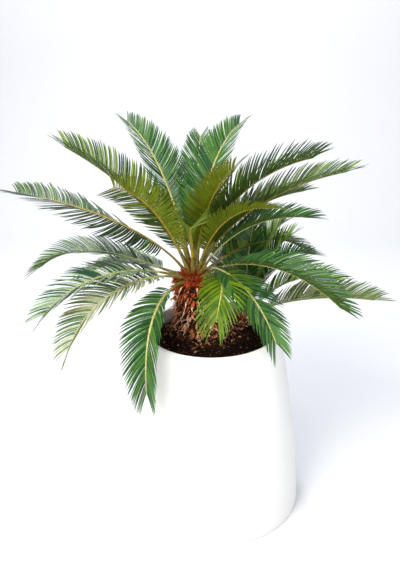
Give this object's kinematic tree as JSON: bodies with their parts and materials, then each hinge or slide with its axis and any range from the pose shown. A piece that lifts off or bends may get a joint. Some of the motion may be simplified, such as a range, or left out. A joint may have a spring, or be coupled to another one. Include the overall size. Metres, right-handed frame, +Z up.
{
  "type": "potted sago palm",
  "caption": "Sago palm with a low offshoot: stiff feather-shaped fronds arch from a short shaggy trunk in a tall round matt white pot that widens towards its foot",
  "frame": {"origin": "centre of the pot's flat underside, where it stands on the floor", "axes": "+Z up the pot's turning axis, front of the plant as pictured towards -Y, +X to its right"},
  "size_m": [1.256, 0.8311, 1.2242],
  "materials": {
    "white_pot": "matt white, smooth and clean",
    "potting_soil": "dark damp soil with tan bark chips",
    "trunk_leaf_bases": "rough brown stubs of old leaf stalks",
    "crown_wool": "felted rust-red wool and dry scales",
    "offshoot_leaf_bases": "rough brown stubs of old leaf stalks",
    "frond_green_a": "waxy dark green leaflets on an olive rib",
    "frond_green_b": "waxy mid green leaflets on an olive rib",
    "frond_green_c": "waxy deep green leaflets on an olive rib",
    "young_frond": "soft fresh yellow-green leaflets on a pale rib"
  },
  "bodies": {
    "root": {"pot": "white_pot", "soil": "potting_soil", "trunk": "trunk_leaf_bases", "crown_wool": "crown_wool", "offshoot_stem": "offshoot_leaf_bases", "frond_01": "frond_green_a", "frond_02": "frond_green_a", "frond_03": "frond_green_a", "frond_04_inner": "frond_green_a", "frond_04_outer": "frond_green_a", "frond_05_inner": "frond_green_a", "frond_05_outer": "frond_green_a", "frond_06": "frond_green_b", "frond_07": "frond_green_c", "frond_08": "frond_green_c", "frond_09": "frond_green_c", "frond_10": "frond_green_a", "frond_11": "frond_green_a", "frond_12": "frond_green_a", "frond_13": "frond_green_a", "frond_14": "frond_green_c", "frond_15": "frond_green_c", "frond_16": "frond_green_c", "frond_17": "frond_green_c", "frond_18": "frond_green_c", "frond_19": "frond_green_c", "frond_20": "frond_green_a", "frond_21": "frond_green_c", "frond_22": "frond_green_c", "frond_23": "frond_green_c", "frond_24_inner": "young_frond", "frond_24_outer": "young_frond", "frond_25": "frond_green_a", "frond_26": "frond_green_a", "offshoot_frond_1": "frond_green_b", "offshoot_frond_2": "frond_green_b", "offshoot_frond_3": "frond_green_b", "offshoot_frond_4": "frond_green_a", "offshoot_frond_5": "frond_green_a", "offshoot_frond_6": "frond_green_b", "offshoot_frond_7": "frond_green_c", "offshoot_frond_8": "frond_green_a", "offshoot_frond_9": "frond_green_a"}
  },
  "joints": []
}
